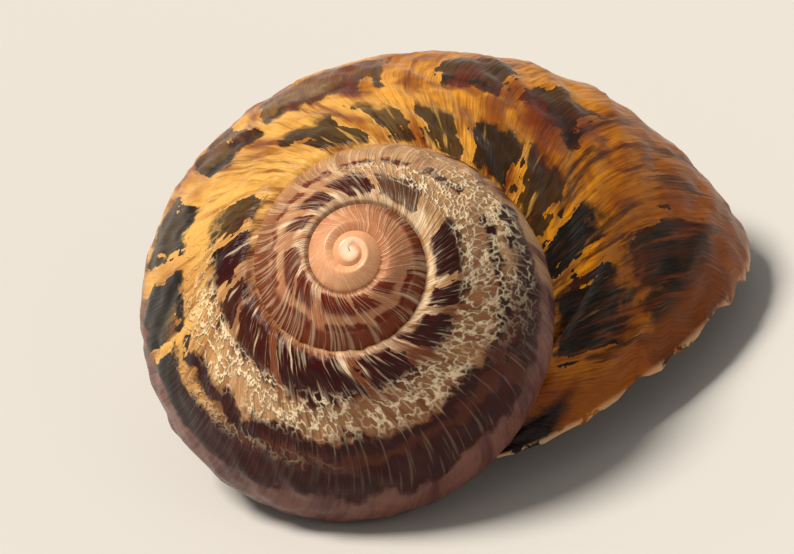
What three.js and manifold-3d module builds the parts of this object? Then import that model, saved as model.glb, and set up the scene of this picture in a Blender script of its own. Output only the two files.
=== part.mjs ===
// The empty shell of a brown garden snail: one hollow, right-handed coil of a little over four turns
// with a thin chipped lip, lying on its mouth with the apex up at a slant.
// The shell is grown about its own axis first, apex at the top and coiling clockwise seen from above:
// the outline of the mouth is scaled, turned and sunk, and every earlier outline was once the mouth.
// Then it is leaned over to the pose in which it rests. Millimetres, +Z up.

import * as THREE from "three";
import { mergeVertices } from "three/addons/utils/BufferGeometryUtils.js";
import Module from "manifold-3d";

// --- the mouth, which is the last outline of the coil
const mouthReach = 8.97; // shell axis to the middle of the mouth
const mouthHalfLength = 9.62; // along the long way of the outline, which slopes down and outward
const mouthHalfWidth = 6.41;
const mouthSlope = THREE.MathUtils.degToRad(-40.3); // of the long way, from level
const mouthPower = 2 / 2.15; // a little squarer than an ellipse
const mouthSkew = -0.064; // the outer end is slightly the narrower one
const innerLip = 0.38; // the outline bulges by this much toward the axis, where it makes the columella
const innerLipAt = THREE.MathUtils.degToRad(262); // round the outline from its outer lower end
const innerLipWide = THREE.MathUtils.degToRad(40);
const mouthYaw = THREE.MathUtils.degToRad(74.7); // heading of the mouth's plane, from straight outward
const mouthPitch = THREE.MathUtils.degToRad(-39); // and how far it faces down

// --- growth
const growthPerTurn = 2.177; // size of each turn over the one before
const sinkPerTurn = 2.85; // depth below the apex, likewise
const mouthDepth = 16.49; // apex to the level of the mouth's middle, before the last drop
const lastDrop = 2.69; // the extra drop of the last whorl as it nears the mouth
const lastDropTurns = 0.6;

// --- wall
const lipWall = 0.55; // wall at the mouth
const wallPerTurn = 1.3; // the wall thickens this much with each turn
const firstHollow = -8; // the segments above this are too narrow for a hollow here
const hollowPast = 0.06; // the hollow runs on through the mouth by this part of a turn

// --- columella: the pillar that fills the coil's narrow axial gap
const pillarRadius = 1.1; // at its foot
const pillarFoot = 21; // depth of the foot below the apex
const pillarTop = 0.2;
const pillarTaper = 0.8; // how the radius follows the depth
const pillarRound = 0.5; // how far its foot bulges
const pillarRings = 8;
const pillarSides = 16;

// --- rest pose: the direction that points down, in the upright shell
const restHeading = THREE.MathUtils.degToRad(81.324); // clockwise from the middle of the mouth
const restLean = THREE.MathUtils.degToRad(44.664); // of the axis from upright
const restTurn = THREE.MathUtils.degToRad(-15.82); // about the vertical, once leaned

// --- facets
const sides = 26; // points round an outline
const finest = 0.02; // facets smaller than this are merged
const firstSegment = -17; // the coil is joined from quarter turns, counted back from the mouth
const segmentsPerTurn = 4;
const lateSegments = 5; // those next to the mouth have more outlines
const lateSteps = 6;
const earlySteps = 4;

const facing = new THREE.Vector3(
  Math.cos(mouthPitch) * Math.cos(mouthYaw),
  Math.cos(mouthPitch) * Math.sin(mouthYaw),
  Math.sin(mouthPitch),
);

const growth = (turn) => growthPerTurn ** turn;

const wallAt = (turn) => lipWall * wallPerTurn ** turn;

function sinkAt(turn) {
  const late = THREE.MathUtils.smoothstep(turn, -lastDropTurns, 0);
  return mouthDepth * sinkPerTurn ** turn + lastDrop * late;
}

// A point of the mouth's outline, in cylindrical coordinates about the axis, at full size.
function mouthPoint(angle, inset) {
  const c = Math.cos(angle);
  const s = Math.sin(angle);
  const bulge = 1 + innerLip * Math.exp(-(((angle - innerLipAt) / innerLipWide) ** 2));
  const along = (mouthHalfLength * bulge - inset) * Math.sign(c) * Math.abs(c) ** mouthPower;
  const skew = 1 + mouthSkew * c;
  const across = (mouthHalfWidth * bulge - inset) * Math.sign(s) * Math.abs(s) ** mouthPower * skew;
  const out = along * Math.cos(mouthSlope) - across * Math.sin(mouthSlope);
  const up = along * Math.sin(mouthSlope) + across * Math.cos(mouthSlope);
  const forward = -(facing.x * out + facing.z * up) / facing.y;
  const reach = mouthReach + out;
  return { radius: Math.hypot(reach, forward), up, lead: Math.atan2(forward, reach) };
}

// How far the broken lip falls short of a whole one, in turns, around the outline.
const chips = [
  { at: 1.68, wide: 0.16, deep: 0.005 },
  { at: 1.21, wide: 0.16, deep: 0.005 },
  { at: 0.6, wide: 0.26, deep: 0.005 },
];

function chipAt(angle) {
  const depth = (chip) => chip.deep * Math.exp(-(((angle - chip.at) / chip.wide) ** 2));
  return -chips.reduce((sum, chip) => sum + depth(chip), 0);
}

// The outline as it stood at a given turn, as points round the coil.
function outlineAt(turn, inset, chipped) {
  return Array.from({ length: sides }, (_, side) => {
    const angle = (2 * Math.PI * side) / sides;
    const at = turn + (chipped ? chipAt(angle) : 0);
    const point = mouthPoint(angle, inset / growth(at));
    const azimuth = 2 * Math.PI * at + point.lead;
    const radius = point.radius * growth(at);
    return new THREE.Vector3(
      radius * Math.cos(azimuth),
      -radius * Math.sin(azimuth),
      point.up * growth(at) - sinkAt(at),
    );
  });
}

// A closed solid through a row of outlines with the same number of points, capped at both ends.
function loft(outlines) {
  const last = outlines.length - 1;
  const points = outlines.flat();
  const total = (row) => row.reduce((sum, point) => sum.add(point), new THREE.Vector3());
  const middle = (row) => total(row).divideScalar(sides);
  points.push(middle(outlines[0]), middle(outlines[last]));
  const index = [];
  for (let side = 0; side < sides; side += 1) {
    const next = (side + 1) % sides;
    for (let row = 0; row < last; row += 1) {
      const here = row * sides;
      index.push(here + side, here + sides + next, here + sides + side);
      index.push(here + side, here + next, here + sides + next);
    }
    index.push(points.length - 2, next, side);
    index.push(points.length - 1, last * sides + side, last * sides + next);
  }
  const geometry = new THREE.BufferGeometry().setFromPoints(points);
  geometry.setIndex(index);
  return geometry;
}

// Only the positions, with shared points merged.
function closed(geometry) {
  geometry.deleteAttribute("normal");
  geometry.deleteAttribute("uv");
  return mergeVertices(geometry);
}

function solidOf(geometry) {
  const mesh = new wasm.Mesh({
    numProp: 3,
    vertProperties: Float32Array.from(geometry.attributes.position.array),
    triVerts: Uint32Array.from(geometry.index.array),
  });
  return new wasm.Manifold(mesh);
}

const wasm = await Module();
wasm.setup();

// One quarter turn of the coil, by its number: the outer solid or the hollow.
function segment(number, hollow) {
  const steps = number < -lateSegments ? earlySteps : lateSteps;
  const outlines = [];
  for (let step = 0; step <= steps; step += 1) {
    const turn = (number * steps + step) / (steps * segmentsPerTurn);
    outlines.push(outlineAt(turn, hollow ? wallAt(turn) : 0, !hollow && turn === 0));
  }
  if (hollow && number === -1) {
    outlines.push(outlineAt(hollowPast, wallAt(0), false));
  }
  return solidOf(loft(outlines));
}

// The pillar, turned about the axis and rounded at its foot.
function columella() {
  const profile = [new THREE.Vector2(0, -pillarFoot - pillarRound)];
  for (let step = 0; step <= pillarRings; step += 1) {
    const depth = pillarFoot + ((pillarTop - pillarFoot) * step) / pillarRings;
    profile.push(new THREE.Vector2(pillarRadius * (depth / pillarFoot) ** pillarTaper, -depth));
  }
  profile.push(new THREE.Vector2(0, -pillarTop));
  const upright = new THREE.LatheGeometry(profile, pillarSides).rotateX(Math.PI / 2);
  return solidOf(closed(upright));
}

function buildShell() {
  const numbers = Array.from({ length: -firstSegment }, (_, i) => firstSegment + i);
  const grown = []; // the outer solid as it stood after each segment
  numbers.forEach((number, i) => {
    const wall = segment(number, false);
    grown.push(i === 0 ? wall : grown[i - 1].add(wall));
  });
  // A hollow keeps clear of the whorl before it, whose wall it shares.
  const hollow = numbers
    .filter((number) => number >= firstHollow)
    .map((number) => segment(number, true).subtract(grown[number - firstSegment - 2]))
    .reduce((sum, part) => sum.add(part));
  const whole = grown[grown.length - 1].add(columella());
  const pieces = whole.subtract(hollow).simplify(finest).decompose();
  // Rounding leaves crumbs of no volume where facets meet: the shell is the one real piece.
  return pieces.reduce((most, piece) => (piece.volume() > most.volume() ? piece : most));
}

// Lean the upright shell over to its rest pose, centred over the origin and standing on z = 0.
function rested(geometry) {
  const vertical = new THREE.Vector3(0, 0, 1);
  const skyward = new THREE.Vector3(
    -Math.sin(restLean) * Math.cos(restHeading),
    Math.sin(restLean) * Math.sin(restHeading),
    Math.cos(restLean),
  );
  geometry.applyQuaternion(new THREE.Quaternion().setFromUnitVectors(skyward, vertical));
  geometry.applyQuaternion(new THREE.Quaternion().setFromAxisAngle(vertical, restTurn));
  geometry.computeBoundingBox();
  const middle = geometry.boundingBox.getCenter(new THREE.Vector3());
  return geometry.translate(-middle.x, -middle.y, -geometry.boundingBox.min.z);
}

const result = buildShell().getMesh();
const geometry = new THREE.BufferGeometry();
const corners = Float32Array.from(result.vertProperties);
geometry.setAttribute("position", new THREE.BufferAttribute(corners, 3));
geometry.setIndex(Array.from(result.triVerts));
const horn = new THREE.MeshStandardMaterial({ color: 0xb98a4e, roughness: 0.45, metalness: 0 });
const shell = new THREE.Mesh(rested(geometry), horn);
shell.name = "shell";

const group = new THREE.Group();
group.add(shell);
export default group;
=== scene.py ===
# %% [markdown]
# # A garden snail's shell
# The empty shell of a brown garden snail is one piece: a tube of lime and horn coiled a little over
# four times to the right, each turn about twice the size of the one before. It lies on its mouth,
# apex forward, on a pale table. First the measured model is loaded.

# %% Load the measured model
import math
import bpy
import numpy as np
from mathutils import Matrix, Quaternion, Vector


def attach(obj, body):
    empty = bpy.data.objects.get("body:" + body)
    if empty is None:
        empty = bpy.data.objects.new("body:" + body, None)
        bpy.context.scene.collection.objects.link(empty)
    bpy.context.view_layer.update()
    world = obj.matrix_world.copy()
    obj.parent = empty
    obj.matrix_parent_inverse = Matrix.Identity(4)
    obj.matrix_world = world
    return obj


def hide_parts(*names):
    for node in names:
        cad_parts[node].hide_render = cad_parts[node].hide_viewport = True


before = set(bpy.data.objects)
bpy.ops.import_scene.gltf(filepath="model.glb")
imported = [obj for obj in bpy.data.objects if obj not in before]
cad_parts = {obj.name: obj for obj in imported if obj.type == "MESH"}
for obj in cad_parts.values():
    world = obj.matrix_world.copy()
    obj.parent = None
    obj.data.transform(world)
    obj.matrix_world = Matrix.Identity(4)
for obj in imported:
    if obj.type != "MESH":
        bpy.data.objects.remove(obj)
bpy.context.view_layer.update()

MM = 0.001

# %% [markdown]
# ## How the shell lies
# The shell is easiest to grow about its own axis, with the apex at the origin. Resting on its mouth
# it leans over, so one rotation and one shift carry the upright shell to the table. The camera is
# fixed to the same axis: it looks almost straight at the apex.

# %% From the upright shell to the table
REST_HEADING = math.radians(81.324)  # the way down, clockwise from the middle of the mouth
REST_LEAN = math.radians(44.664)  # of the axis from upright
REST_TURN = math.radians(-15.82)
skyward = Vector((
    -math.sin(REST_LEAN) * math.cos(REST_HEADING),
    math.sin(REST_LEAN) * math.sin(REST_HEADING),
    math.cos(REST_LEAN),
))
leaned = Quaternion((0, 0, 1), REST_TURN) @ skyward.rotation_difference(Vector((0, 0, 1)))
APEX = Vector((-4.392, -11.762, 15.903)) * MM  # where the apex ends up
print("the axis leans", round(math.degrees(REST_LEAN), 1), "degrees")

# %% The camera
CAMERA_TILT = math.radians(17.15)  # of the view from the shell's axis
CAMERA_HEADING = math.radians(59.713)  # clockwise round the axis
CAMERA_DISTANCE = 294 * MM
AIM_RIGHT = 2.23 * MM  # the middle of the view, from the apex
AIM_DOWN = 1.2 * MM
FOCAL_LENGTH = 276.6
axis = Vector((0, 0, 1))
outward = Vector((math.cos(CAMERA_HEADING), -math.sin(CAMERA_HEADING), 0))
toward = math.cos(CAMERA_TILT) * axis + math.sin(CAMERA_TILT) * outward
across = math.cos(CAMERA_TILT) * outward - math.sin(CAMERA_TILT) * axis
beside = toward.cross(across)
view_right = math.cos(CAMERA_HEADING) * across + math.sin(CAMERA_HEADING) * beside
view_up = -math.sin(CAMERA_HEADING) * across + math.cos(CAMERA_HEADING) * beside
columns = [leaned @ view_right, leaned @ view_up, leaned @ toward]
place = APEX + CAMERA_DISTANCE * columns[2] + AIM_RIGHT * columns[0] - AIM_DOWN * columns[1]
camera = bpy.data.objects.new("camera", bpy.data.cameras.new("camera"))
camera.data.lens = FOCAL_LENGTH
camera.data.sensor_width = 36
camera.data.clip_start = 0.01
camera.data.clip_end = 20
camera.matrix_world = Matrix.Translation(place) @ Matrix(columns).transposed().to_4x4()
bpy.context.collection.objects.link(camera)
bpy.context.scene.camera = camera
print("camera", round(math.degrees(math.asin(columns[2].z)), 1), "degrees above the table")

# %% [markdown]
# ## The outline of the mouth
# A snail adds lime only along the lip, so every ring round the shell was once its mouth. The outline
# is a squarish ellipse, tilted and swept back, with a bulge on the axis side where it makes the
# columella. Only the part that shows is kept: the rest lies against the turn before.

# %% The mouth and the way it grows
MOUTH_REACH = 8.97  # millimetres, from the axis to the middle of the mouth
MOUTH_HALF_LENGTH = 9.62
MOUTH_HALF_WIDTH = 6.41
MOUTH_SLOPE = math.radians(-40.3)  # of the long way, from level
MOUTH_POWER = 2 / 2.15  # a little squarer than an ellipse
MOUTH_SKEW = -0.064
INNER_LIP = 0.38  # the bulge that makes the columella
INNER_LIP_AT = 262  # degrees round the outline from its outer lower end
INNER_LIP_WIDE = 40
MOUTH_YAW = math.radians(74.7)  # heading of the mouth's plane
MOUTH_PITCH = math.radians(-39)  # and how far it faces down
GROWTH = 2.177  # size of each turn over the one before
SINK_GROWTH = 2.85  # depth below the apex, likewise
MOUTH_DEPTH = 16.49
LAST_DROP = 2.69  # the extra drop of the last whorl as it nears the mouth
LAST_DROP_TURNS = 0.6
LIP_WALL = 0.5


def ramp(value, start, end):
    """0 at start and before, 1 at end and beyond, smooth between; end may be below start."""
    part = np.clip((value - start) / (end - start), 0, 1)
    return part * part * (3 - 2 * part)


def depth_at(turn):
    """How far the middle of an outline lies below the apex, in millimetres."""
    return MOUTH_DEPTH * SINK_GROWTH ** turn + LAST_DROP * ramp(turn, -LAST_DROP_TURNS, 0)


def mouth_point(degrees):
    """Where the outline stands at an angle round it, upright and at full size."""
    facing = (
        math.cos(MOUTH_PITCH) * math.cos(MOUTH_YAW),
        math.cos(MOUTH_PITCH) * math.sin(MOUTH_YAW),
        math.sin(MOUTH_PITCH),
    )
    angle = math.radians(degrees)
    round_way = degrees % 360
    bulge = 1 + INNER_LIP * math.exp(-(((round_way - INNER_LIP_AT) / INNER_LIP_WIDE) ** 2))
    c, s = math.cos(angle), math.sin(angle)
    along = MOUTH_HALF_LENGTH * bulge * math.copysign(abs(c) ** MOUTH_POWER, c)
    side = MOUTH_HALF_WIDTH * bulge * math.copysign(abs(s) ** MOUTH_POWER, s) * (1 + MOUTH_SKEW * c)
    out = along * math.cos(MOUTH_SLOPE) - side * math.sin(MOUTH_SLOPE)
    up = along * math.sin(MOUTH_SLOPE) + side * math.cos(MOUTH_SLOPE)
    forward = -(facing[0] * out + facing[2] * up) / facing[1]
    return Vector((MOUTH_REACH + out, -forward, up))


print("the mouth is", round(2 * MOUTH_HALF_LENGTH, 1), "by", round(2 * MOUTH_HALF_WIDTH, 1), "mm")

# %% [markdown]
# ## Growing the coil
# The ring of edges is extruded, then made a little larger, lower and further round, again and
# again, about the axis. Steps near the mouth are short, so the last turn has room for its wrinkles.

# %% The turns at which a ring stands
FIRST_TURN = -4.3
FINE_FROM = -1.45
SMALL_UNTIL = -2.4
SMALL_RINGS, MIDDLE_RINGS, FINE_RINGS = 128, 100, 270
turns = np.concatenate([
    np.linspace(FIRST_TURN, SMALL_UNTIL, SMALL_RINGS, endpoint=False),
    np.linspace(SMALL_UNTIL, FINE_FROM, MIDDLE_RINGS, endpoint=False),
    np.linspace(FINE_FROM, 0, FINE_RINGS),
])
UPPER_EDGE = 168  # the outline's kept arc runs down from here, round the outside and the base
LOWER_EDGE = -150
POINTS = 92
angles = np.linspace(UPPER_EDGE, LOWER_EDGE, POINTS)
print(len(turns), "rings of", POINTS, "points")

# %% The first ring, from a circle
bpy.ops.object.select_all(action="DESELECT")
bpy.ops.mesh.primitive_circle_add(vertices=POINTS, radius=1 * MM, location=(0, 0, 0))
shell = bpy.context.object
shell.name = "snail_shell"
bpy.ops.object.mode_set(mode="EDIT")
bpy.ops.mesh.select_mode(type="EDGE")
bpy.ops.mesh.select_all(action="DESELECT")
bpy.ops.object.mode_set(mode="OBJECT")
closing = [edge for edge in shell.data.edges if set(edge.vertices) == {0, POINTS - 1}]
closing[0].select = True
bpy.ops.object.mode_set(mode="EDIT")
bpy.ops.mesh.delete(type="EDGE")
bpy.ops.mesh.select_all(action="SELECT")
bpy.ops.object.mode_set(mode="OBJECT")
first = Matrix.Rotation(-2 * math.pi * FIRST_TURN, 4, "Z")
low = Vector((0, 0, -depth_at(FIRST_TURN)))
for vertex, degrees in zip(shell.data.vertices, angles):
    vertex.co = (first @ (mouth_point(degrees) * GROWTH ** FIRST_TURN) + low) * MM
print("an open ring of", len(shell.data.edges), "edges")

# %% Extrude, enlarge, lower and turn
bpy.ops.object.mode_set(mode="EDIT")
for before, turn in zip(turns[:-1], turns[1:]):
    step = turn - before
    size = GROWTH ** step
    centre = (0, 0, -depth_at(before) * MM)
    bpy.ops.mesh.extrude_edges_move()
    bpy.ops.transform.resize(value=(size, size, size), center_override=centre)
    bpy.ops.transform.translate(value=(0, 0, (depth_at(before) - depth_at(turn)) * MM))
    bpy.ops.transform.rotate(value=2 * math.pi * step, orient_axis="Z", center_override=(0, 0, 0))
bpy.ops.object.mode_set(mode="OBJECT")
count = len(turns) * POINTS
print(len(shell.data.vertices), "points, expected", count)


# %% Which ring and which place each point has
def read(mesh, name="co"):
    """The points of a mesh, or its normals, one row each."""
    out = np.empty(3 * len(mesh.vertices), np.float32)
    source, field = (mesh.vertices, "co") if name == "co" else (mesh.vertex_normals, "vector")
    source.foreach_get(field, out)
    return out.reshape(-1, 3).astype(float)


def write(mesh, points):
    mesh.vertices.foreach_set("co", points.astype(np.float32).ravel())
    mesh.update()


ring = np.repeat(turns, POINTS)
angle = np.tile(angles, len(turns))
grown = read(shell.data)
last = [(mouth_point(degrees) + Vector((0, 0, -depth_at(0)))) * MM for degrees in angles]
miss = np.abs(grown[-POINTS:] - np.array(last)).max()
print("the last ring is", round(miss / MM, 4), "mm from the mouth")

# %% [markdown]
# ## The nucleus, the wrinkles and the broken lip
# The coil begins as a bead, so its first rings shrink to a point, the first turn closes over the
# axis, and the next ones tuck in under it. Growth left wrinkles along every former lip, coarser
# toward the mouth, and fine hammering over the last turns. They show in the outline and catch the
# light, so the points are moved along their normals. Last, the thin lip is broken back in bites.

# %% The first rings close to a bead
NUCLEUS_TURNS = 0.32
NUCLEUS_LEAST = 0.02
scale = GROWTH ** ring
round_way = -2 * np.pi * ring
middle = np.stack([
    MOUTH_REACH * scale * np.cos(round_way),
    MOUTH_REACH * scale * np.sin(round_way),
    -depth_at(ring),
], 1) * MM
begun = np.clip((ring - FIRST_TURN) / NUCLEUS_TURNS, 0, 1)
fullness = np.sqrt(1 - (1 - begun) ** 2)[:, None]
write(shell.data, middle + (grown - middle) * np.maximum(fullness, NUCLEUS_LEAST))
print("the bead takes up", int((begun < 1).sum() / POINTS), "rings")

# %% The first turn closes over the axis
CLOSED_UNTIL = -3.35
SEAM_LIFT = 0.9  # of the upper edge, for a whorl of full size
BEAD_LIFT = 0.6  # and as much again beside the nucleus
DOME_TOP = 0.15 * MM  # the top of the first turn lies no lower than a shallow dome
DOME_FALL = 0.45 / MM
inner_edge = ramp(angle, 128, 168) * ramp(ring, CLOSED_UNTIL, CLOSED_UNTIL - 0.25)
points = read(shell.data)
points[:, :2] *= (1 - inner_edge)[:, None]
lift = SEAM_LIFT * ramp(ring, -2.45, -3.05) + BEAD_LIFT * ramp(ring, -3.0, -3.5)
points[:, 2] += lift * ramp(angle, 112, 160) * scale * MM
dome = DOME_TOP - DOME_FALL * (points[:, 0] ** 2 + points[:, 1] ** 2)
below_dome = 2 * ramp(angle, 132, 146) * ramp(ring, -3.7, -3.5) + 0.3 * ramp(angle, 60, 20)
below_dome += 1.5 * ramp(ring, -3.15, -2.85)
points[:, 2] = np.maximum(points[:, 2], dome - below_dome * MM)
print("closed over the axis for", round(CLOSED_UNTIL - FIRST_TURN, 2), "turns")

# %% The next turns tuck in under the turn before
TUCK = 0.22
tucked = ramp(angle, 138, 168) * ramp(ring, -1.9, -2.4) * ramp(ring, -3.75, -3.4)
points[:, :2] *= (1 - TUCK * tucked)[:, None]
points[:, 2] -= TUCK * tucked * np.minimum(1, 6 * scale) * MM
write(shell.data, points)
print("tucked points:", int((tucked > 0).sum()))

# %% The normals face out
bpy.ops.object.mode_set(mode="EDIT")
bpy.ops.mesh.select_all(action="SELECT")
bpy.ops.mesh.normals_make_consistent(inside=False)
bpy.ops.object.mode_set(mode="OBJECT")
points = read(shell.data)
normals = read(shell.data, "normal")
side = -POINTS // 2  # a point half way round the mouth
outside = (points[side] - middle[side]) @ normals[side] > 0
if not outside:
    bpy.ops.object.mode_set(mode="EDIT")
    bpy.ops.mesh.flip_normals()
    bpy.ops.object.mode_set(mode="OBJECT")
    normals = read(shell.data, "normal")
print("outward at once:", bool(outside))

# %% Distances over the surface, in millimetres
CIRCUIT = 105  # how far a point over the shoulder is along the coil at the mouth
SECTION = 8  # the outline's mean radius there
SHOULDER = 120
LEAN = 0.00125  # streaks and wrinkles trail back by this part of a turn for each degree


def hump(value, centre, width):
    return np.exp(-(((value - centre) / width) ** 2))


trail = ring + LEAN * (angle - SHOULDER)
coil_x = CIRCUIT * GROWTH ** trail
coil_y = SECTION * scale * np.radians(angle - SHOULDER)
print("streaks trail", round(LEAN * 360, 2), "degrees for each degree round the outline")

# %% Growth wrinkles
WRINKLES_PER_TURN = (13, 19, 27, 37, 47, 59)
WRINKLE_HEIGHT = 0.021  # millimetres for each of them
HALTS = (  # where growth stopped for a while: turn, height in millimetres, half width in turns
    (-0.012, 0.10, 0.006), (-0.04, 0.14, 0.007), (-0.075, 0.1, 0.009), (-0.105, 0.16, 0.008),
    (-0.15, 0.12, 0.009), (-0.2, 0.14, 0.008), (-0.27, 0.1, 0.009), (-0.36, 0.09, 0.01),
)
rng = np.random.default_rng(7)
around = np.radians(angle)
wrinkle = np.zeros(count)
for waves in WRINKLES_PER_TURN:
    phase, drift = rng.uniform(0, 2 * np.pi, 2)
    strength = 0.5 + 0.5 * np.sin(around * rng.uniform(1, 3) + drift + 5 * ring)
    wrinkle += strength * np.sin(2 * np.pi * waves * ring + phase + 0.4 * np.sin(3 * around))
sculpted = ramp(ring, -2.3, -1.8)  # the first whorls are smooth
rough_lip = 1 + 1.2 * ramp(ring, -0.3, 0)
relief = WRINKLE_HEIGHT * wrinkle * sculpted * rough_lip
for at, high, wide in HALTS:
    waver = 0.004 * np.sin(4 * around + 60 * at)
    relief += high * hump(ring + waver, at, wide) * (0.5 + 0.5 * np.sin(2.3 * around + 40 * at))
print("wrinkles from", round(relief.min(), 2), "to", round(relief.max(), 2), "mm")

# %% Hammered dents over the last turns
DENT_WAVES = 26
DENT_HEIGHT = 0.012
dents = np.zeros(count)
for _ in range(DENT_WAVES):
    way = rng.uniform(0, 2 * np.pi)
    length = rng.uniform(0.9, 2.4)
    along = coil_x * np.cos(way) + coil_y * np.sin(way)
    dents += np.cos(2 * np.pi * along / length + rng.uniform(0, 6.3))
relief += DENT_HEIGHT * dents * ramp(ring, -1.4, -0.9)
write(shell.data, points + normals * (relief * np.minimum(1, scale * 1.3))[:, None] * MM)
print("relief from", round(relief.min(), 2), "to", round(relief.max(), 2), "mm")

# %% The broken lip
LIP_BREAKS = (  # angle round the outline, half width in degrees, depth in turns
    (96, 5, 0.006), (82, 3, 0.003), (66, 7, 0.005), (47, 5, 0.004), (30, 4, 0.003), (18, 8, 0.006),
    (-20, 9, 0.004), (-60, 7, 0.005),
)
LIP_TEETH = 0.0009
LIP_BREADTH = 17  # millimetres from the axis to the lip
broken = sum(deep * hump(angle, at, wide) for at, wide, deep in LIP_BREAKS)
broken += LIP_TEETH * (np.sin(31 * around) + np.sin(47 * around + 1) + 1.5)
short = -broken * ramp(ring, -0.06, 0)
points = read(shell.data) / MM
spun = -2 * np.pi * short
height = (points[:, 2] + depth_at(ring)) * GROWTH ** short - depth_at(ring + short)
x, y = points[:, 0] * GROWTH ** short, points[:, 1] * GROWTH ** short
points = np.stack([x * np.cos(spun) - y * np.sin(spun), x * np.sin(spun) + y * np.cos(spun), height], 1)
write(shell.data, points * MM)
print("the deepest bite is", round(broken.max() * 2 * math.pi * LIP_BREADTH, 2), "mm")

# %% [markdown]
# ## The wall
# The lip shows how thin the shell is, so the skin needs a real thickness. Solidify grows it inward,
# and a vertex group makes the young whorls thinner. Its inner face and its broken rim get places for
# materials of their own. Before that, each point keeps its turn, its angle and its distances as
# attributes, which the colours follow.

# %% Attributes for the colours
for name, values in (("turn", ring + short), ("girth", angle)):
    kept = shell.data.attributes.new(name, "FLOAT", "POINT")
    kept.data.foreach_set("value", values.astype(np.float32))
flat = np.stack([coil_x, coil_y, np.zeros(count)], 1)
kept = shell.data.attributes.new("coil", "FLOAT_VECTOR", "POINT")
kept.data.foreach_set("vector", flat.astype(np.float32).ravel())
print("attributes:", ", ".join(("turn", "girth", "coil")))

# %% Give the skin its wall
WALL_POWER = 0.6  # how the wall follows the size of the whorl
BEAD_WALL = 0.1
LIP_EDGE = 0.012  # the last part of a turn, over which the wall thins to its rim
RIM_THINNING = 0.45
thin = np.minimum(1, scale ** WALL_POWER * np.maximum(fullness[:, 0], BEAD_WALL))
thin *= 1 - RIM_THINNING * ramp(ring, -LIP_EDGE, 0)
group = shell.vertex_groups.new(name="wall")
for index, share in enumerate(thin):
    group.add([index], float(share), "REPLACE")
wall = shell.modifiers.new("wall", "SOLIDIFY")
wall.thickness = LIP_WALL * MM
wall.offset = -1
wall.vertex_group = "wall"
wall.material_offset = 1
wall.material_offset_rim = 2
for name in ("shell_outside", "shell_inside", "broken_edge"):
    material = bpy.data.materials.new(name)
    material.use_nodes = True
    shell.data.materials.append(material)
bpy.ops.object.modifier_apply(modifier="wall")
print(len(shell.data.polygons), "faces with the wall")

# %% Lay it down on its mouth
SHARPEST = math.radians(40)
shell.rotation_mode = "QUATERNION"
shell.rotation_quaternion = leaned
shell.location = APEX
bpy.ops.object.transform_apply(location=True, rotation=True, scale=False)
bpy.ops.object.shade_smooth_by_angle(angle=SHARPEST)
lowest = min(vertex.co.z for vertex in shell.data.vertices)
print("lowest point", round(lowest / MM, 3), "mm")
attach(shell, "root")
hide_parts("shell")

# %% [markdown]
# ## Colours
# The pigment was laid down at the lip in spiral rows, so the colours are worked out from how far
# round the coil a point is and how far round the whorl. Steps of a colour ramp give the blotches of
# each row, and noise frays their edges and adds the fine pale wrinkles. Turns count back from the
# lip, and heights on the whorl are degrees round the outline: 168 at the seam above, 90 over the
# side, 40 where the base begins.

# %% Helpers for nodes


def colour(red, green, blue):
    """A colour as seen on a screen, 0 to 255, made linear."""
    def linear(value):
        value /= 255
        return value / 12.92 if value <= 0.04045 else ((value + 0.055) / 1.055) ** 2.4
    return (linear(red), linear(green), linear(blue), 1)


def node(tree, kind, feeds=None, **settings):
    """A new node, with each input fed by a socket or set to a value."""
    made = tree.nodes.new("ShaderNode" + kind)
    for name, value in settings.items():
        setattr(made, name, value)
    for name, value in (feeds or {}).items():
        if isinstance(value, bpy.types.NodeSocket):
            tree.links.new(value, made.inputs[name])
        else:
            made.inputs[name].default_value = value
    return made


def maths(tree, operation, first, second=0.0, third=0.0):
    feeds = {0: first, 1: second}
    if operation == "MULTIPLY_ADD":
        feeds[2] = third
    return node(tree, "Math", feeds, operation=operation).outputs[0]


def times(tree, first, *others):
    """The product of masks and numbers."""
    for other in others:
        first = maths(tree, "MULTIPLY", first, other)
    return first


def most(tree, first, *others):
    """The greatest of several masks."""
    for other in others:
        first = maths(tree, "MAXIMUM", first, other)
    return first


def step_up(tree, value, low, high):
    """0 at low, 1 at high, smooth between."""
    feeds = {"Value": value, "From Min": low, "From Max": high}
    return node(tree, "MapRange", feeds, interpolation_type="SMOOTHSTEP").outputs[0]


def between(tree, value, low, high, soft):
    """1 from low to high, with soft edges."""
    rise = step_up(tree, value, low - soft, low + soft)
    fall = step_up(tree, value, high + soft, high - soft)
    return times(tree, rise, fall)


def zone(tree, turn, turns, girth, heights):
    """1 inside a range of turns and a range of heights, each given as low, high and softness."""
    return times(tree, between(tree, turn, *turns), between(tree, girth, *heights))


def blend(tree, amount, under, over):
    made = node(tree, "Mix", data_type="RGBA")
    for socket, value in ((made.inputs[0], amount), (made.inputs[6], under), (made.inputs[7], over)):
        if isinstance(value, bpy.types.NodeSocket):
            tree.links.new(value, socket)
        else:
            socket.default_value = value
    return made.outputs[2]


def attribute(tree, name, output="Fac"):
    return node(tree, "Attribute", attribute_name=name).outputs[output]


def noise(tree, vector, size, detail=2.0, roughness=0.5, stretch=(1, 1, 1)):
    scaled = node(tree, "VectorMath", {0: vector, 1: stretch}, operation="MULTIPLY").outputs[0]
    feeds = {"Vector": scaled, "Scale": size, "Detail": detail, "Roughness": roughness}
    return node(tree, "TexNoise", feeds).outputs["Fac"]


def lines(tree, value, width):
    """Thin lines where a noise crosses its middle."""
    away = maths(tree, "ABSOLUTE", maths(tree, "SUBTRACT", value, 0.5))
    return step_up(tree, away, width, 0.0)


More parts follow.
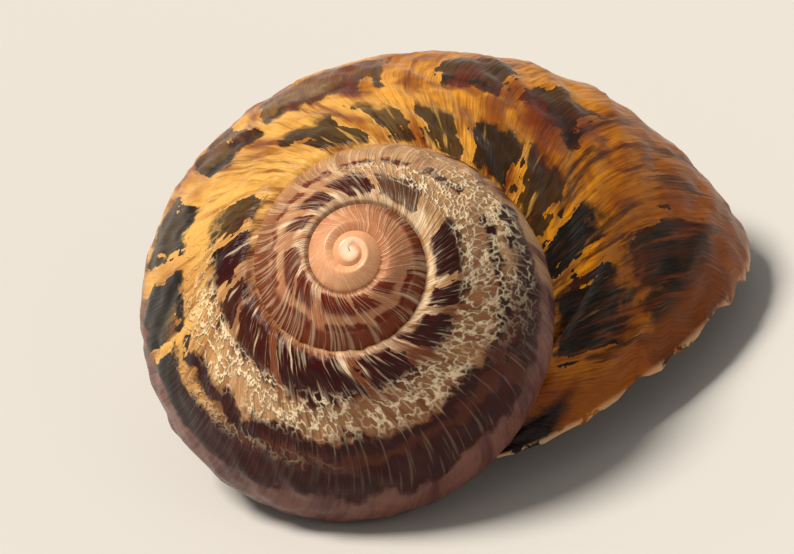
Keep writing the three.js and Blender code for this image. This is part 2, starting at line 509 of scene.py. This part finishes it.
def row_of(tree, value, start, end, blotches):
    """The strength of the blotch at a turn, and 0 outside them all."""
    part = node(tree, "MapRange", {"Value": value, "From Min": start, "From Max": end}).outputs[0]
    steps = node(tree, "ValToRGB", {"Fac": part})
    steps.color_ramp.interpolation = "CONSTANT"
    stops = steps.color_ramp.elements
    stops[0].position = 0
    stops[0].color = (0, 0, 0, 1)
    stops.remove(stops[1])
    for low, high, strength in blotches:
        for at, level in ((low, strength), (high, 0)):
            stop = stops.new((at - start) / (end - start))
            stop.color = (level, level, level, 1)
    return steps.outputs[0]


# %% The rows of blotches, as a group that the outside and the inside share
FIRST_BLOTCH = -2.02
UPPER_SPLIT, LOWER_SPLIT = -0.95, -1.0  # a colour ramp holds only so many steps
LOWER_SHIFT = 0.045
UPPER_EARLY = (  # the turns at which a blotch begins and ends, and how dark it is
    (-2.0, -1.955, 0.95), (-1.925, -1.865, 1), (-1.85, -1.765, 1), (-1.735, -1.665, 1),
    (-1.655, -1.585, 0.95), (-1.535, -1.495, 0.95), (-1.475, -1.42, 1), (-1.405, -1.33, 1),
    (-1.31, -1.225, 0.85), (-1.17, -1.08, 1), (-1.068, -1.03, 1), (-1.012, -0.96, 1),
)
UPPER_LATE = (
    (-0.93, -0.865, 1), (-0.85, -0.745, 1), (-0.725, -0.665, 0.9), (-0.655, -0.625, 0.95),
    (-0.61, -0.565, 1), (-0.55, -0.51, 0.9), (-0.42, -0.372, 0.9), (-0.352, -0.325, 0.85),
    (-0.305, -0.28, 0.9), (-0.262, -0.225, 0.95), (-0.215, -0.18, 0.9), (-0.165, -0.135, 1),
    (-0.12, -0.065, 1),
)
LOWER_EARLY = (
    (-2.0, -1.835, 1), (-1.815, -1.71, 1), (-1.685, -1.605, 1), (-1.58, -1.46, 0.9),
    (-1.435, -1.385, 0.9), (-1.365, -1.325, 1), (-1.305, -1.26, 1), (-1.245, -1.205, 0.95),
    (-1.19, -1.135, 0.95), (-1.095, -1.0, 1),
)
LOWER_LATE = (
    (-1.0, -0.945, 1), (-0.925, -0.56, 1), (-0.545, -0.505, 1), (-0.485, -0.445, 0.95),
    (-0.415, -0.375, 0.85), (-0.36, -0.285, 0.75), (-0.24, -0.205, 0.9), (-0.185, -0.15, 0.9),
    (-0.085, 0.012, 0.95),
)
rows = bpy.data.node_groups.new("rows_of_blotches", "ShaderNodeTree")
for name in ("Upper", "Middle", "Lower", "Turn", "Girth"):
    rows.interface.new_socket(name, in_out="OUTPUT", socket_type="NodeSocketFloat")
coil = attribute(rows, "coil", "Vector")
raw_turn = attribute(rows, "turn")
raw_girth = attribute(rows, "girth")
sway = maths(rows, "SUBTRACT", noise(rows, coil, 0.55, 4.0, 0.62), 0.5)
fray = maths(rows, "SUBTRACT", noise(rows, coil, 1.5, 3.0, 0.55, (1, 0.25, 1)), 0.5)
frayed = maths(rows, "MULTIPLY_ADD", fray, 16.0, raw_girth)
girth = maths(rows, "MULTIPLY_ADD", sway, 34.0, frayed)
over_shoulder = maths(rows, "SUBTRACT", raw_girth, float(SHOULDER))
trailing = maths(rows, "MULTIPLY_ADD", over_shoulder, LEAN, raw_turn)
trailing = maths(rows, "MULTIPLY_ADD", sway, 0.035, trailing)
trailing = maths(rows, "MULTIPLY_ADD", fray, 0.05, trailing)
upper = most(
    rows,
    row_of(rows, trailing, FIRST_BLOTCH, UPPER_SPLIT, UPPER_EARLY),
    row_of(rows, trailing, UPPER_SPLIT, 0.0, UPPER_LATE),
)
lower_turn = maths(rows, "ADD", trailing, LOWER_SHIFT)
lower = most(
    rows,
    row_of(rows, lower_turn, FIRST_BLOTCH, LOWER_SPLIT, LOWER_EARLY),
    row_of(rows, lower_turn, LOWER_SPLIT, 0.0, LOWER_LATE),
)
late_drop = step_up(rows, raw_turn, -0.6, -0.45)  # the upper row lies 5 degrees lower on the last turn
upper_band = between(rows, maths(rows, "MULTIPLY_ADD", late_drop, 5.0, girth), 103.0, 147.0, 5.0)
drop = step_up(rows, raw_turn, -1.45, -1.1)  # and the middle row sinks by 10 before that
middle_band = between(rows, maths(rows, "MULTIPLY_ADD", drop, 10.0, girth), 82.0, 91.0, 2.0)
low_band = zone(rows, raw_turn, (-1.09, -0.45, 0.02), girth, (30.0, 64.0, 3.0))
reach_up = times(rows, step_up(rows, raw_turn, -0.16, -0.12), 14.0)
wide_band = between(rows, maths(rows, "SUBTRACT", girth, reach_up), 42.0, 78.0, 4.0)
wide_band = times(rows, wide_band, step_up(rows, raw_turn, -0.56, -0.5))
out = rows.nodes.new("NodeGroupOutput")
for name, value in (
    ("Upper", times(rows, upper, upper_band)),
    ("Middle", times(rows, lower, middle_band)),
    ("Lower", times(rows, lower, most(rows, low_band, wide_band))),
    ("Turn", raw_turn), ("Girth", girth),
):
    rows.links.new(value, out.inputs[name])
print("blotches:", len(UPPER_EARLY + UPPER_LATE), "above,", len(LOWER_EARLY + LOWER_LATE), "below")

# %% [markdown]
# ## The outside
# The ground goes from the smooth peach bead through tan and cream to the golden last turn. The rows
# lie over it, maroon and nearly black on cream, olive on gold. Pale threads that follow the growth
# lines cross everything, and a net of cream wrinkles covers the middle whorls. The skin is glossy,
# less so where it is wrinkled, and a fine bump carries what is too small for the mesh.

# %% The colours of the outside
PEACH = colour(205, 152, 116)
TAN = colour(166, 112, 82)
CREAM = colour(176, 136, 98)
GOLD = colour(208, 160, 90)
AMBER = colour(204, 132, 44)
OCHRE = colour(126, 62, 16)
MAROON = colour(62, 14, 9)
BLACK = colour(22, 6, 7)
OLIVE = colour(19, 12, 5)
UMBER = colour(96, 30, 14)
SCORCH = colour(58, 24, 8)
RUSSET = colour(94, 34, 16)
# painted shade: these two base colours are darker than the shell's own tan and lavender base, for the
# underside that faces away from the light
SHADED_BASE = colour(80, 48, 46)
SHADED_BASE_PALE = colour(112, 76, 66)
CALLUS = colour(206, 178, 148)
THREAD = colour(238, 216, 180)
BEAD_SEAM = colour(250, 232, 208)
CHALK = colour(212, 170, 130)
tree = bpy.data.materials["shell_outside"].node_tree
skin = tree.nodes["Principled BSDF"]
rows_out = node(tree, "Group", node_tree=rows).outputs
turn, girth = rows_out["Turn"], rows_out["Girth"]
coil = attribute(tree, "coil", "Vector")
plain_girth = attribute(tree, "girth")
print("outside material", skin.name)

# %% The ground, from the bead to the lip
ground = blend(tree, step_up(tree, turn, -2.75, -2.2), PEACH, TAN)
ground = blend(tree, step_up(tree, turn, -1.75, -1.15), ground, CREAM)
ground = blend(tree, step_up(tree, turn, -0.68, -0.5), ground, GOLD)
ground = blend(tree, times(tree, step_up(tree, turn, -0.42, -0.16), 0.8), ground, AMBER)
clouds = step_up(tree, noise(tree, coil, 0.35, 3.0, 0.6, (1, 0.4, 1)), 0.42, 0.68)
ground = blend(tree, times(tree, clouds, step_up(tree, turn, -0.7, -0.35)), ground, OCHRE)
lines_of_growth = noise(tree, coil, 1.5, 4.0, 0.65, (1, 0.1, 1))
darker_lines = step_up(tree, lines_of_growth, 0.47, 0.66)
ground = blend(tree, times(tree, darker_lines, step_up(tree, turn, -2.5, -0.4), 0.75), ground, RUSSET)
ground = blend(tree, times(tree, step_up(tree, turn, -0.17, -0.05), 0.7), ground, OCHRE)
print("ground:", len(tree.nodes), "nodes so far")

# %% Brown and pale bands in the ground
side_brown = zone(tree, turn, (-2.2, -1.4, 0.12), plain_girth, (50.0, 84.0, 5.0))
low_brown = zone(tree, turn, (-1.0, -0.6, 0.04), girth, (34.0, 82.0, 4.0))
middle_brown = zone(tree, turn, (-1.1, -0.74, 0.05), girth, (78.0, 110.0, 5.0))
upper_brown = zone(tree, turn, (-1.04, -0.64, 0.06), girth, (104.0, 156.0, 8.0))
seam_pale = zone(tree, turn, (-1.8, -0.98, 0.12), plain_girth, (128.0, 172.0, 8.0))
seam_pale = times(tree, seam_pale, step_up(tree, lines_of_growth, 0.38, 0.55))
for band, strength, tint in (
    (side_brown, 0.9, RUSSET), (low_brown, 0.95, MAROON), (middle_brown, 0.55, RUSSET),
    (upper_brown, 0.85, RUSSET), (seam_pale, 0.5, THREAD),
):
    ground = blend(tree, times(tree, band, strength), ground, tint)
print("bands:", len(tree.nodes), "nodes so far")

# %% The dark rows
dark = blend(tree, noise(tree, coil, 1.1, 2.0), MAROON, BLACK)
dark = blend(tree, step_up(tree, turn, -0.62, -0.5), dark, OLIVE)
upper_dark = blend(tree, step_up(tree, turn, -1.9, -1.15), UMBER, dark)
middle_dark = blend(tree, step_up(tree, turn, -1.35, -1.1), UMBER, dark)
painted = blend(tree, rows_out["Upper"], ground, upper_dark)
painted = blend(tree, rows_out["Middle"], painted, middle_dark)
painted = blend(tree, rows_out["Lower"], painted, dark)
print("rows:", len(tree.nodes), "nodes so far")

# %% Smoke over the side of the last half turn
cloudy = step_up(tree, noise(tree, coil, 0.42, 3.0, 0.6, (1, 0.7, 1)), 0.47, 0.62)
smoke = zone(tree, turn, (-0.36, -0.03, 0.05), plain_girth, (42.0, 96.0, 12.0))
painted = blend(tree, times(tree, cloudy, smoke, 0.7), painted, UMBER)
print("smoke:", len(tree.nodes), "nodes so far")

# %% The base, darkened with painted shade, and the pale columella
BASE_FROM, BASE_FULL = 44.0, 37.0
rising = maths(tree, "MULTIPLY_ADD", step_up(tree, turn, -0.48, -0.38), 14.0, girth)
on_base = step_up(tree, rising, BASE_FROM, BASE_FULL)
base_streaks = step_up(tree, noise(tree, coil, 1.3, 4.0, 0.6, (1, 0.08, 1)), 0.42, 0.62)
early_base = blend(tree, base_streaks, CREAM, RUSSET)
# the base of the middle turns, with painted shade in both its colours
shaded_middle_base = blend(tree, base_streaks, SHADED_BASE_PALE, SHADED_BASE)
late_base = blend(tree, noise(tree, coil, 0.5, 3.0), GOLD, OCHRE)
base = blend(tree, step_up(tree, turn, -1.02, -0.92), early_base, shaded_middle_base)
base = blend(tree, step_up(tree, turn, -0.5, -0.25), base, late_base)
painted = blend(tree, on_base, painted, base)
callus = times(tree, step_up(tree, plain_girth, -55.0, -115.0), step_up(tree, turn, -0.4, -0.1))
painted = blend(tree, times(tree, callus, 0.75), painted, CALLUS)
print("base:", len(tree.nodes), "nodes so far")

# %% Pleats of the early whorls
pleats = step_up(tree, noise(tree, coil, 9.0, 1.0, 0.5, (1, 0.03, 1)), 0.5, 0.62)
pleats = times(tree, pleats, between(tree, turn, -3.1, -1.25, 0.3))
painted = blend(tree, times(tree, pleats, 0.2), painted, THREAD)
print("pleats:", len(tree.nodes), "nodes so far")

# %% Threads along the growth lines, and the net of wrinkles
hairs = noise(tree, coil, 5.2, 2.0, 0.5, (1, 0.06, 1))
threads = times(tree, step_up(tree, hairs, 0.55, 0.68), between(tree, turn, -2.45, -0.7, 0.15))
flames = step_up(tree, noise(tree, coil, 1.7, 2.0, 0.55, (1, 0.12, 1)), 0.6, 0.7)
flames = times(tree, flames, between(tree, turn, -2.2, -0.08, 0.05))
flames = times(tree, flames, step_up(tree, plain_girth, 84.0, 100.0))
on_net = most(
    tree,
    zone(tree, turn, (-1.3, -0.5, 0.1), plain_girth, (82.0, 108.0, 5.0)),
    zone(tree, turn, (-1.16, -0.93, 0.04), plain_girth, (46.0, 84.0, 6.0)),
    zone(tree, turn, (-0.7, -0.54, 0.04), plain_girth, (62.0, 70.0, 3.0)),
)
patchy = step_up(tree, noise(tree, coil, 0.5, 2.0), 0.3, 0.5)
net = lines(tree, noise(tree, coil, 2.1, 2.0, 0.5, (1, 0.75, 1)), 0.085)
net = times(tree, net, on_net, patchy)
pale = most(tree, times(tree, threads, 0.3), times(tree, net, 0.85), times(tree, flames, 0.6))
pale = times(tree, pale, step_up(tree, girth, 38.0, 48.0))
bare = times(tree, between(tree, turn, -0.98, -0.48, 0.03), step_up(tree, girth, 84.0, 70.0))
pale = times(tree, pale, maths(tree, "MULTIPLY_ADD", bare, -0.75, 1.0))
thread_colour = blend(tree, step_up(tree, turn, -0.62, -0.48), THREAD, GOLD)
painted = blend(tree, pale, painted, thread_colour)
print("threads:", len(tree.nodes), "nodes so far")

# %% Seams and lip, with painted shade under the seam by the lip
bead_seam = times(tree, step_up(tree, plain_girth, 128.0, 150.0), step_up(tree, turn, -3.0, -3.5))
streaks = noise(tree, coil, 2.4, 4.0, 0.65, (1, 0.08, 1))
streaky = times(tree, step_up(tree, streaks, 0.5, 0.66), step_up(tree, turn, -0.16, -0.02))
scorched = step_up(tree, noise(tree, coil, 1.6, 4.0, 0.65, (1, 0.1, 1)), 0.5, 0.62)
scorched = times(tree, scorched, between(tree, turn, -0.17, -0.02, 0.02))
margin = between(tree, turn, -0.03, -0.006, 0.008)
# painted shade: the crescent below the seam at the lip is painted black. It is partly the dark colour
# there, and mostly the deep shadow where the shoulder falls into the seam.
shaded_crescent = times(tree, step_up(tree, plain_girth, 118.0, 128.0), step_up(tree, turn, -0.055, -0.03))
seam = times(tree, step_up(tree, plain_girth, 156.0, 162.0), between(tree, turn, -2.2, 0.1, 0.2))
chalk = step_up(tree, noise(tree, coil, 0.7, 4.0, 0.7), 0.44, 0.52)
chalk = times(tree, chalk, step_up(tree, turn, -0.009, -0.003))
for mask, strength, tint in (
    (bead_seam, 0.5, BEAD_SEAM), (streaky, 0.75, OCHRE), (scorched, 0.85, SCORCH),
    (margin, 0.7, OCHRE), (shaded_crescent, 1.0, BLACK), (seam, 0.55, MAROON), (chalk, 0.75, CHALK),
):
    painted = blend(tree, times(tree, mask, strength), painted, tint)
mottle = noise(tree, coil, 2.2, 4.0, 0.6)
brightness = maths(tree, "MULTIPLY_ADD", mottle, 0.5, 0.75)
feeds = {"Hue": 0.5, "Saturation": 1.06, "Value": brightness, "Color": painted}
tree.links.new(node(tree, "HueSaturation", feeds).outputs[0], skin.inputs["Base Color"])
print("seams and lip:", len(tree.nodes), "nodes so far")

# %% Gloss and fine relief
wrinkled = times(tree, step_up(tree, turn, -2.6, -1.9), 0.08)
gloss = maths(tree, "MULTIPLY_ADD", mottle, 0.2, maths(tree, "ADD", wrinkled, 0.14))
tree.links.new(maths(tree, "MULTIPLY_ADD", pale, 0.14, gloss), skin.inputs["Roughness"])
skin.inputs["Coat Weight"].default_value = 0.02
skin.inputs["Coat Roughness"].default_value = 0.22
skin.inputs["Specular IOR Level"].default_value = 0.14
skin.inputs["Subsurface Weight"].default_value = 0.03
skin.inputs["Subsurface Scale"].default_value = 0.8 * MM
skin.inputs["Subsurface Radius"].default_value = (1.0, 0.5, 0.25)
fine = maths(tree, "MULTIPLY_ADD", pleats, 0.35, times(tree, hairs, 0.6))
fine = maths(tree, "MULTIPLY_ADD", net, 0.7, fine)
fine = maths(tree, "MULTIPLY_ADD", streaks, 0.5, fine)
fine = times(tree, fine, step_up(tree, turn, -2.5, -2.0))
bump = node(tree, "Bump", {"Strength": 0.85, "Distance": 0.2 * MM, "Height": fine})
tree.links.new(bump.outputs[0], skin.inputs["Normal"])
print("outside:", len(tree.nodes), "nodes")

# %% [markdown]
# ## The inside and the broken edge
# Inside, the shell is smooth, pale and a little brown, and the dark rows shine through from the
# outside. Where the lip broke, the lime shows chalky white with a warm core.

# %% The inside material
LINING_LIGHT = colour(206, 184, 160)
LINING_BROWN = colour(176, 142, 116)
SHOWN_THROUGH = colour(96, 62, 50)
tree = bpy.data.materials["shell_inside"].node_tree
lining = tree.nodes["Principled BSDF"]
rows_in = node(tree, "Group", node_tree=rows).outputs
coil = attribute(tree, "coil", "Vector")
cloud = noise(tree, coil, 0.5, 3.0)
inner = blend(tree, cloud, LINING_LIGHT, LINING_BROWN)
through = most(tree, rows_in["Upper"], rows_in["Lower"])
inner = blend(tree, times(tree, through, 0.55), inner, SHOWN_THROUGH)
tree.links.new(inner, lining.inputs["Base Color"])
tree.links.new(maths(tree, "MULTIPLY_ADD", cloud, 0.15, 0.2), lining.inputs["Roughness"])
lining.inputs["Coat Weight"].default_value = 0.2
waves = noise(tree, coil, 1.2, 2.0, 0.5, (1, 0.2, 1))
ripple = node(tree, "Bump", {"Strength": 0.3, "Distance": 0.1 * MM, "Height": waves})
tree.links.new(ripple.outputs[0], lining.inputs["Normal"])
print("inside:", len(tree.nodes), "nodes")

# %% The broken edge
LIME = colour(236, 224, 204)
LIME_CORE = colour(168, 118, 72)
tree = bpy.data.materials["broken_edge"].node_tree
lime = tree.nodes["Principled BSDF"]
coil = attribute(tree, "coil", "Vector")
grit = noise(tree, coil, 5.0, 4.0, 0.7)
edge = blend(tree, step_up(tree, grit, 0.4, 0.62), LIME_CORE, LIME)
tree.links.new(edge, lime.inputs["Base Color"])
tree.links.new(maths(tree, "MULTIPLY_ADD", grit, 0.3, 0.45), lime.inputs["Roughness"])
crumbs = node(tree, "Bump", {"Strength": 0.7, "Distance": 0.08 * MM, "Height": grit})
tree.links.new(crumbs.outputs[0], lime.inputs["Normal"])
print("three materials on", shell.name)

# %% [markdown]
# ## The table and the light
# The shell lies on a plain pale table. A broad soft sun stands high on the left, a weak lamp fills
# from the right, and a pale room gives the rest.

# %% The table
TABLE_SIZE = 3
bpy.ops.object.select_all(action="DESELECT")
bpy.ops.mesh.primitive_plane_add(size=TABLE_SIZE, location=(0, 0, 0))
table = bpy.context.object
table.name = "table"
bpy.ops.object.transform_apply(location=True, rotation=True, scale=True)
paint = bpy.data.materials.new("table_paint")
paint.use_nodes = True
coating = paint.node_tree.nodes["Principled BSDF"]
coating.inputs["Base Color"].default_value = colour(184, 180, 174)
coating.inputs["Roughness"].default_value = 0.8
table.data.materials.append(paint)
print("table", TABLE_SIZE, "m wide")

# %% The lamps and the room
KEY_FROM = Vector((-0.5, -0.02, 1.0))
FILL_FROM = Vector((0.6, -1.0, 0.45)).normalized()
FILL_DISTANCE = 320 * MM
SHELL_MIDDLE = Vector((0, 0, 8)) * MM


def stand(light, towards, spot):
    """Put a light at a spot, shining from the given direction."""
    made = bpy.data.objects.new(light.name, light)
    made.location = spot
    made.rotation_mode = "QUATERNION"
    made.rotation_quaternion = towards.to_track_quat("Z", "Y")
    bpy.context.collection.objects.link(made)
    print(light.name, "from", [round(part, 2) for part in towards])


key = bpy.data.lights.new("key_lamp", "SUN")
key.energy = 5.0
key.angle = math.radians(19)
key.color = (1.0, 0.95, 0.88)
stand(key, KEY_FROM, Vector((0, 0, 0)))
fill = bpy.data.lights.new("fill_lamp", "AREA")
fill.shape = "DISK"
fill.size = 200 * MM
fill.energy = 0.12
fill.color = (1.0, 0.97, 0.94)
stand(fill, FILL_FROM, SHELL_MIDDLE + FILL_FROM * FILL_DISTANCE)
room = bpy.data.worlds.new("room")
room.use_nodes = True
air = room.node_tree.nodes["Background"]
air.inputs["Color"].default_value = (1.0, 0.97, 0.93, 1)
air.inputs["Strength"].default_value = 0.34
bpy.context.scene.world = room
bpy.context.scene.view_settings.view_transform = "Standard"

# %% [markdown]
# ## Finish
# The finished shell is meant to fill the same box as the measured model.

# %% Bring the scene up to date
bpy.context.view_layer.update()
